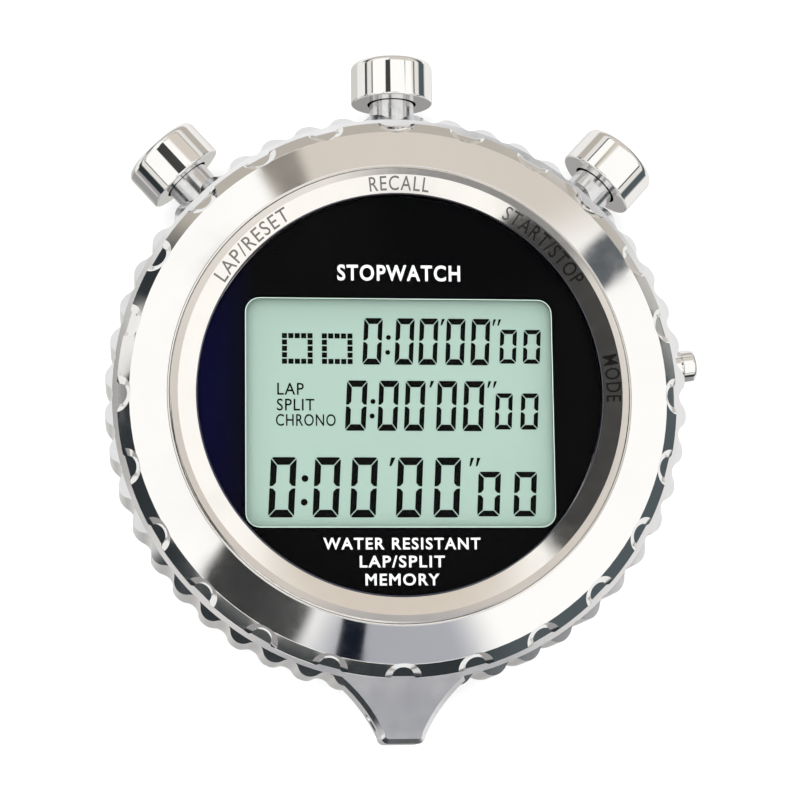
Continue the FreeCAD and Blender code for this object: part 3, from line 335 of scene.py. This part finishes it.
WHITE_INK = flat_ink("white_ink", (0.95, 0.96, 0.97))
SEGMENT_INK = flat_ink("segment_ink", (0.0012, 0.0016, 0.0014), gloss=(0.6, 0.75))
ETCHED_STEEL = surface(
    "etched_steel", (0.21, 0.205, 0.195), 1.0, (0.06, 0.09), spread=0.08, patch=1500.0,
    grain=(15000.0, 1e-6),
)
# painted highlight: pale mint for the lit edge of the display window
WINDOW_EDGE_HIGHLIGHT = flat_ink("border_ink", (0.62, 0.80, 0.70))
BEVEL_GLASS = surface(
    "bevel_glass", (0.04, 0.045, 0.065), 0.0, (0.06, 0.14), spread=0.02, grain=(3000.0, 3e-7),
)


def piece(name, points, faces, finish):
    mesh = bpy.data.meshes.new(name)
    mesh.from_pydata(points, [], faces)
    mesh.update()
    mesh.materials.append(finish)
    made = bpy.data.objects.new(name, mesh)
    bpy.context.scene.collection.objects.link(made)
    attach(made, "case")
    return made


def glyphs(text, weight=0.0, spacing=1.0):
    """Filled outlines of a text in the built-in font: points in the unit box, and faces."""
    curve = bpy.data.curves.new("letters", "FONT")
    curve.body = text
    curve.offset = weight
    curve.space_character = spacing
    curve.resolution_u = 4
    holder = bpy.data.objects.new("letters", curve)
    bpy.context.scene.collection.objects.link(holder)
    mesh = bpy.data.meshes.new_from_object(
        holder.evaluated_get(bpy.context.evaluated_depsgraph_get())
    )
    low_x = min(v.co.x for v in mesh.vertices)
    low_y = min(v.co.y for v in mesh.vertices)
    wide = max(v.co.x for v in mesh.vertices) - low_x
    tall = max(v.co.y for v in mesh.vertices) - low_y
    points = [((v.co.x - low_x) / wide, (v.co.y - low_y) / tall) for v in mesh.vertices]
    faces = [tuple(face.vertices) for face in mesh.polygons]
    bpy.data.objects.remove(holder)
    bpy.data.meshes.remove(mesh)
    bpy.data.curves.remove(curve)
    return points, faces


def flat_text(name, text, left, right, low, high, level, finish, weight=0.0, spacing=1.0):
    """Text filling a box given in millimetres, lying flat at a level in metres."""
    points, faces = glyphs(text, weight, spacing)
    placed = [
        ((left + u * (right - left)) * MM, (low + v * (high - low)) * MM, level)
        for u, v in points
    ]
    return piece(name, placed, faces, finish)


def ring_height(radius):
    """Level of the sloping face of the label ring."""
    inner_z = GLASS_TOP - CHAMFER
    lip_radius = RING_RADIUS - RING_LIP
    share = (radius - RING_BORE) / (lip_radius - RING_BORE)
    return inner_z + share * (RING_TOP - inner_z)


def ring_text(name, text, first, last, inner, outer, weight=0.0, spacing=1.0):
    """Text round the label ring, tops outward, between two angles in degrees."""
    points, faces = glyphs(text, weight, spacing)
    placed = []
    for u, v in points:
        angle = math.radians(first + u * (last - first))
        radius = (inner + v * (outer - inner)) * MM
        placed.append((
            radius * math.cos(angle), radius * math.sin(angle),
            ring_height(radius) + INK_THICKNESS,
        ))
    return piece(name, placed, faces, ETCHED_STEEL)


INK_LEVEL = (MASK_TOP + GLASS_UNDER) / 2
MASK_TEXTS = (
    # name, text, left, right, low and high in millimetres, added weight, spacing
    ("dial_title", "STOPWATCH", -6.77, 6.77, 12.6, 14.4, 0.022, 1.16),
    ("dial_line_1", "WATER RESISTANT", -8.5, 8.5, -16.93, -15.64, 0.018, 1.18),
    ("dial_line_2", "LAP/SPLIT", -4.6, 4.6, -18.87, -17.58, 0.018, 1.18),
    ("dial_line_3", "MEMORY", -4.0, 4.0, -20.81, -19.52, 0.018, 1.16),
)
for name, text, left, right, low, high, weight, spacing in MASK_TEXTS:
    flat_text(name, text, left, right, low, high, INK_LEVEL, WHITE_INK,
              weight, spacing)

RING_TEXTS = (
    # name, text, first and last angle in degrees
    ("ring_label_recall", "RECALL", 98.2, 81.8),
    ("ring_label_lap_reset", "LAP/RESET", 148.0, 122.0),
    ("ring_label_start_stop", "START/STOP", 60.0, 32.0),
    ("ring_label_mode", "MODE", 10.4, -2.4),
)
RING_TEXT_FEET = 22.45
RING_TEXT_TOPS = 24.0
for name, text, first, last in RING_TEXTS:
    ring_text(name, text, first, last, RING_TEXT_FEET, RING_TEXT_TOPS, weight=0.004, spacing=1.15)


# ------------------------------------------------------------------ display segments
SEGMENT_LEVEL = POLARISER_TOP + 0.02 * MM
SLANT = math.tan(math.radians(3.0))


class Segments:
    """Gathers the flat dark shapes of the display into one mesh."""

    def __init__(self):
        self.points = []
        self.faces = []

    def add(self, outline):
        start = len(self.points)
        self.points += [(x * MM, y * MM, SEGMENT_LEVEL) for x, y in outline]
        self.faces.append(tuple(range(start, start + len(outline))))

    def zero(self, left, right, low, high):
        """Figure 0 of six mitred bars, leaning to the right."""
        tall = high - low
        wide = right - left - tall * SLANT
        bar = 0.245 * wide
        cap = 0.128 * tall
        gap = 0.026 * wide + 0.025
        nip = 0.28 * bar
        half = tall / 2
        top = [(gap + nip, 0), (gap, -nip * 0.5), (bar + gap * 0.6, -cap),
               (wide - bar - gap * 0.6, -cap), (wide - gap, -nip * 0.5), (wide - gap - nip, 0)]
        side = [(0, -nip - gap), (0, -half + gap), (bar * 0.55, -half + gap * 1.6),
                (bar, -half + gap + bar * 0.6), (bar, -cap - gap), (nip * 0.4, -nip * 0.7 - gap)]
        shapes = [[(x, tall + y) for x, y in top]]
        shapes.append([(x, tall + y) for x, y in side])
        shapes.append([(wide - x, tall + y) for x, y in reversed(side)])
        shapes += [[(x, tall - y) for x, y in reversed(shape)] for shape in shapes[:3]]
        for shape in shapes:
            self.add([(left + x + y * SLANT, low + y) for x, y in shape])

    def dot(self, x, y, radius, count=20):
        turns = [math.tau * k / count for k in range(count)]
        self.add([(x + radius * math.cos(turn), y + radius * math.sin(turn)) for turn in turns])

    def mark(self, left, right, low, high):
        """One leaning stroke, wider at its top."""
        wide = (right - left) * 0.7
        self.add([(left, low), (left + wide * 0.5, low), (right, high), (right - wide, high)])

    def dotted_square(self, left, right, low, high, count=5):
        """Hollow square of small blocks, with count of them along each side."""
        pitch_x = (right - left) / count
        pitch_y = (high - low) / count
        a = pitch_x * 0.4
        b = pitch_y * 0.4
        ends = (0, count - 1)
        for column in range(count):
            for row in range(count):
                if column in ends or row in ends:
                    x = left + pitch_x * (column + 0.5)
                    y = low + pitch_y * (row + 0.5)
                    self.add([(x - a, y - b), (x + a, y - b), (x + a, y + b), (x - a, y + b)])


shown = Segments()
SQUARES = ((-12.84, -9.34), (-8.47, -4.96))
SQUARE_LOW = 3.52
SQUARE_HIGH = 7.07
for left, right in SQUARES:
    shown.dotted_square(left, right, SQUARE_LOW, SQUARE_HIGH)
ROWS = (
    # figures, their low and high, small figures, their low and high
    (((-3.98, -1.66), (-0.45, 1.86), (2.17, 4.5), (5.15, 7.5), (7.93, 10.25)), 3.55, 8.75,
     ((11.15, 13.2), (13.76, 15.86)), 3.76, 7.56),
    (((-5.95, -3.4), (-2.41, 0.05), (0.5, 2.98), (4.02, 6.47), (6.96, 9.5)), -3.78, 1.78,
     ((10.5, 12.6), (13.33, 15.48)), -3.58, 0.44),
    (((-14.35, -11.2), (-9.55, -6.4), (-5.5, -2.35), (-0.5, 2.6), (3.6, 6.76)), -13.28, -6.7,
     ((8.4, 11.12), (12.38, 15.1)), -13.16, -8.25),
)
for big, low, high, small, small_low, small_high in ROWS:
    for left, right in big:
        shown.zero(left, right, low, high)
    for left, right in small:
        shown.zero(left, right, small_low, small_high)
COLONS = (
    # middle, upper dot, lower dot, radius
    (-1.12, 6.59, 4.92, 0.27), (-2.9, -0.54, -2.15, 0.28), (-10.38, -9.03, -11.62, 0.37),
)
COLON_LEAN = 0.05
for x, upper, lower, radius in COLONS:
    shown.dot(x + COLON_LEAN, upper, radius)
    shown.dot(x - COLON_LEAN, lower, radius)
MARKS = (
    # left, right, low, high
    (4.70, 5.22, 8.0, 8.72), (10.46, 10.9, 8.0, 8.72), (11.02, 11.46, 8.0, 8.72),
    (3.38, 3.92, 1.05, 1.78), (9.77, 10.23, 1.05, 1.78), (10.4, 10.86, 1.05, 1.78),
    (-1.14, -0.45, -7.65, -6.72), (7.64, 8.18, -7.65, -6.72), (8.34, 8.88, -7.65, -6.72),
)
for mark in MARKS:
    shown.mark(*mark)
piece("display_figures", shown.points, shown.faces, SEGMENT_INK)
DISPLAY_TEXTS = (
    # name, text, left, right, low, high
    ("display_word_lap", "LAP", -13.3, -10.4, 0.16, 1.48),
    ("display_word_split", "SPLIT", -13.35, -9.25, -1.59, -0.27),
    ("display_word_chrono", "CHRONO", -13.46, -6.94, -3.28, -1.96),
)
for name, text, left, right, low, high in DISPLAY_TEXTS:
    flat_text(name, text, left, right, low, high, SEGMENT_LEVEL, SEGMENT_INK,
              weight=0.006, spacing=1.1)


# ------------------------------------------------------------------ painted highlight round the window, and glass bevel
def rounded_rectangle(wide, tall, radius, steps=8):
    outline = []
    for corner, (sx, sy) in enumerate(((1, 1), (-1, 1), (-1, -1), (1, -1))):
        for k in range(steps + 1):
            angle = math.radians(90 * corner + 90 * k / steps)
            outline.append((
                sx * (wide / 2 - radius) + radius * math.cos(angle),
                sy * (tall / 2 - radius) + radius * math.sin(angle),
            ))
    return outline


def band(name, inner, outer, finish):
    """Strip between two closed lines of equally many points."""
    count = len(inner)
    faces = [(k, count + k, count + (k + 1) % count, (k + 1) % count) for k in range(count)]
    return piece(name, inner + outer, faces, finish)


WINDOW_WIDE = 33.5
WINDOW_TALL = 25.0
WINDOW_Y = -1.95
WINDOW_CORNER = 1.5
# width in millimetres of the painted highlight band round the window
BORDER = 0.09


def window_line(grow, level):
    outline = rounded_rectangle(
        WINDOW_WIDE + 2 * grow, WINDOW_TALL + 2 * grow, WINDOW_CORNER + grow
    )
    return [(x * MM, (y + WINDOW_Y) * MM, level) for x, y in outline]


# painted highlight: a thin band round the display window, paler than the film
band("window_highlight_band", window_line(0.0, INK_LEVEL), window_line(BORDER, INK_LEVEL),
     WINDOW_EDGE_HIGHLIGHT)


def circle_line(radius, level, count=192):
    turns = [math.tau * k / count for k in range(count)]
    return [(radius * math.cos(turn), radius * math.sin(turn), level) for turn in turns]


LIFT = 0.008 * MM                 # keeps the bevel clear of the crystal under it
bevel = band(
    "crystal_bevel",
    circle_line(GLASS_RADIUS - CHAMFER / 2, GLASS_TOP - CHAMFER / 2 + LIFT),
    circle_line(GLASS_RADIUS + LIFT, GLASS_TOP - CHAMFER + LIFT),
    BEVEL_GLASS,
)
for polygon in bevel.data.polygons:
    polygon.use_smooth = True


def make_coil(key, angle):
    """Copy of the return spring, fixed to the case in place of its hidden CAD node."""
    spring = frame["nodes"][key + "_spring"]
    coil = bpy.data.objects.new(key + "_coil", spring.data.copy())
    bpy.context.scene.collection.objects.link(coil)
    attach(coil, "case")
    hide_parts(key + "_spring")
    outward = Vector((math.cos(math.radians(angle)), math.sin(math.radians(angle)), 0.0))
    reaches = [vertex.co.dot(outward) for vertex in coil.data.vertices]
    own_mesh(coil)


for key, angle in PUSHER_ANGLES.items():
    make_coil(key, angle)


# ------------------------------------------------------------------ floor
FLOOR_RADIUS = 3.0
FLOOR_GAP = 0.05 * MM


def make_floor():
    count = 96
    points = [(0.0, 0.0, 0.0)] + circle_line(FLOOR_RADIUS, 0.0, count)
    faces = [(0, 1 + k, 1 + (k + 1) % count) for k in range(count)]
    mesh = bpy.data.meshes.new("floor")
    mesh.from_pydata(points, [], faces)
    mesh.materials.append(surface(
        "floor_paper", (0.90, 0.90, 0.90), 0.0, (0.8, 0.95), spread=0.01, patch=9.0,
        grain=(900.0, 2e-6), Specular_IOR_Level=0.0,
    ))
    floor = bpy.data.objects.new("floor", mesh)
    floor.location.z = -FLOOR_GAP
    floor.visible_glossy = False
    bpy.context.scene.collection.objects.link(floor)


# ------------------------------------------------------------------ room that reflections see
WHITE_WALL = (0.90, 0.89, 0.87, 1.0)
PALE_WALL = (0.82, 0.80, 0.77, 1.0)
BEIGE_WALL = (0.50, 0.46, 0.41, 1.0)
WALL_LINE = (0.10, 0.11, 0.11, 1.0)
TABLE_NEAR = (0.34, 0.33, 0.33, 1.0)
TABLE_FAR = (0.66, 0.65, 0.62, 1.0)
DARK_LEFT = (0.028, 0.034, 0.038, 1.0)
DARK_RIGHT = (0.085, 0.105, 0.115, 1.0)
LINE_LEVEL = 0.455


def room_below(shader, x, y, z):
    """Grey table, paler away from the front, with white behind it and at its right."""
    table = shader.mix(shader.ramp(y, -0.28, 0.12), TABLE_NEAR, TABLE_FAR)
    behind = shader.mix(shader.ramp(z, -0.32, -0.25), WHITE_WALL, BEIGE_WALL)
    table = shader.mix(shader.ramp(y, 0.35, 0.75), table, behind)
    right = shader.math("MULTIPLY", shader.ramp(x, 0.35, 0.55), shader.ramp(z, -0.21, -0.26))
    return shader.mix(right, table, WHITE_WALL)


def room_level(shader, x, y):
    """Dark horizon, a little lighter to the right, with a beige far end."""
    dark = shader.mix(shader.ramp(x, 0.3, 0.6), DARK_LEFT, DARK_RIGHT)
    return shader.mix(shader.ramp(y, 0.66, 0.80), dark, BEIGE_WALL)


def room_above(shader, z):
    """Pale wall with one dark line round it."""
    off_line = shader.math("ABSOLUTE", shader.math("SUBTRACT", z, LINE_LEVEL))
    return shader.mix(shader.ramp(off_line, 0.02, 0.04), WALL_LINE, PALE_WALL)


def room_window(shader, x, y, z):
    """1 in the bright window at the left, whose near end slants, and 0 beside it."""
    near_end = shader.ramp(z, -0.06, 0.0, -0.47, -0.10)
    window = shader.ramp(shader.math("SUBTRACT", y, near_end), -0.04, 0.04)
    far_end = shader.math("MULTIPLY", shader.ramp(y, 0.44, 0.54), shader.ramp(z, -0.25, -0.15))
    for edge in (
        shader.ramp(shader.math("MULTIPLY", x, -1.0), 0.25, 0.45),
        shader.ramp(z, -0.50, -0.42),
        shader.math("SUBTRACT", 1.0, shader.ramp(z, 0.05, 0.08)),
        shader.math("SUBTRACT", 1.0, far_end),
    ):
        window = shader.math("MULTIPLY", window, edge)
    return window


def make_world():
    """Plain white, except in reflections, which see the room in the direction they look.

    x, y and z are that direction's own parts, so the room's edges are given as sines.
    """
    world = bpy.data.worlds.new("studio")
    bpy.context.scene.world = world
    world.use_nodes = True
    shader = Shader(world.node_tree)
    x, y, z = shader.split(shader.node("ShaderNodeTexCoord").outputs["Generated"])
    lower = shader.ramp(z, -0.21, -0.13)
    upper = shader.ramp(z, 0.15, 0.24)
    room = shader.mix(lower, room_below(shader, x, y, z), room_level(shader, x, y))
    room = shader.mix(room_window(shader, x, y, z), room, WHITE_WALL)
    room = shader.mix(upper, room, room_above(shader, z))
    plain = shader.node("ShaderNodeBackground")
    plain.inputs["Color"].default_value = (1.0, 1.0, 1.0, 1.0)
    mirrored = shader.node("ShaderNodeBackground")
    shader.put(mirrored.inputs["Color"], room)
    mixer = shader.node("ShaderNodeMixShader")
    glossy = shader.node("ShaderNodeLightPath").outputs["Is Glossy Ray"]
    for socket, item in zip(mixer.inputs, (glossy, plain.outputs[0], mirrored.outputs[0])):
        shader.put(socket, item)
    output = shader.node("ShaderNodeOutputWorld")
    shader.put(output.inputs["Surface"], mixer.outputs[0])


# ------------------------------------------------------------------ softbox that reflections see
ROOF_HALF = 0.52
ROOF_HEIGHT = 0.30
ROOF_WHITE = (1.06, 1.05, 1.03, 1.0)
ROOF_WARM = (0.70, 0.64, 0.57, 1.0)
ROOF_FLAGS = (
    # centre and reach in millimetres, softness, tone
    ((30, 40), (66, 62), 0.35, (0.66, 0.62, 0.58)),
    ((30, -22), (42, 24), 0.25, (0.37, 0.37, 0.39)),
    ((55, 96), (32, 20), 0.30, (0.28, 0.28, 0.28)),
    ((28, -146), (68, 48), 0.30, (0.42, 0.43, 0.47)),
    ((-4, -126), (9, 29), 0.12, (0.006, 0.009, 0.018)),
    ((202, 168), (13, 23), 0.25, (0.10, 0.11, 0.12)),
    ((-52, 238), (15, 20), 0.40, (0.26, 0.24, 0.21)),
    ((-84, 62), (50, 118), 0.10, (0.053, 0.053, 0.052)),
    ((-72, -74), (31, 38), 0.12, (0.046, 0.046, 0.046)),
    ((-53, -107), (18, 16), 0.35, (0.055, 0.055, 0.055)),
)


def oval(shader, x, y, centre, reach, soft):
    """0 inside an oval given in millimetres, 1 outside it, with a soft edge."""
    dx = shader.math("DIVIDE", shader.math("SUBTRACT", x, centre[0] * MM), reach[0] * MM)
    dy = shader.math("DIVIDE", shader.math("SUBTRACT", y, centre[1] * MM), reach[1] * MM)
    square = shader.math("ADD", shader.math("MULTIPLY", dx, dx), shader.math("MULTIPLY", dy, dy))
    return shader.ramp(shader.math("SQRT", square), 1.0 - soft, 1.0 + soft)


def only_mirrored(thing):
    """Seen in reflections alone, so it neither hides the object nor shades it."""
    for name in ("camera", "diffuse", "shadow", "transmission", "volume_scatter"):
        setattr(thing, "visible_" + name, False)


def make_roof():
    """Softbox over the object, with the dark flags that give polished metal its edges."""
    half = ROOF_HALF
    level = GLASS_TOP + ROOF_HEIGHT
    material = bpy.data.materials.new("roof_light")
    material.use_nodes = True
    shader = Shader(material.node_tree)
    x, y, z = shader.split(shader.coordinates())
    warm = shader.math("MULTIPLY", shader.ramp(y, 0.175, 0.222), shader.ramp(x, -0.072, -0.058))
    glow = shader.mix(warm, ROOF_WHITE, ROOF_WARM)
    for centre, reach, soft, tone in ROOF_FLAGS:
        glow = shader.mix(oval(shader, x, y, centre, reach, soft), tone + (1.0,), glow)
    light = shader.node("ShaderNodeEmission")
    shader.put(light.inputs["Color"], glow)
    output = shader.node("ShaderNodeOutputMaterial")
    shader.put(output.inputs["Surface"], light.outputs[0])
    mesh = bpy.data.meshes.new("roof_light")
    corners = [(-half, -half, level), (half, -half, level), (half, half, level), (-half, half, level)]
    mesh.from_pydata(corners, [], [(0, 3, 2, 1)])
    mesh.materials.append(material)
    roof = bpy.data.objects.new("roof_light", mesh)
    bpy.context.scene.collection.objects.link(roof)
    only_mirrored(roof)


def make_softbox(name, place, size, power):
    data = bpy.data.lights.new(name, "AREA")
    data.shape = "SQUARE"
    data.size = size
    data.energy = power
    light = bpy.data.objects.new(name, data)
    light.location = place
    light.rotation_euler = (-Vector(place)).to_track_quat("-Z", "Y").to_euler()
    light.visible_glossy = False
    bpy.context.scene.collection.objects.link(light)


# ------------------------------------------------------------------ camera
CAMERA_LENS = 112.6
CAMERA_SHIFT = (-0.0023, -0.0101)
CAMERA_TURN = (9.765, -5.951, -0.712)   # degrees about X, Y and Z from straight down
CAMERA_DISTANCE = 0.2705                # from the middle of the crystal


def make_camera():
    """Camera that leans over the crystal from the left and the front."""
    data = bpy.data.cameras.new("camera")
    data.sensor_width = 36.0
    data.lens = CAMERA_LENS
    data.shift_x, data.shift_y = CAMERA_SHIFT
    data.clip_start = 0.01
    data.clip_end = 20.0
    data.dof.use_dof = False
    turn = Euler([math.radians(angle) for angle in CAMERA_TURN]).to_matrix()
    place = Vector((0.0, 0.0, GLASS_TOP)) + turn.col[2] * CAMERA_DISTANCE
    camera = bpy.data.objects.new("camera", data)
    camera.matrix_world = Matrix.Translation(place) @ turn.to_4x4()
    bpy.context.scene.collection.objects.link(camera)
    bpy.context.scene.camera = camera


# ------------------------------------------------------------------ stage and finish
make_floor()
make_world()
make_roof()
make_softbox("overhead_softbox", place=(-0.15, -0.1, 0.9), size=0.9, power=9.0)
make_camera()
bpy.context.scene.view_settings.view_transform = "Standard"
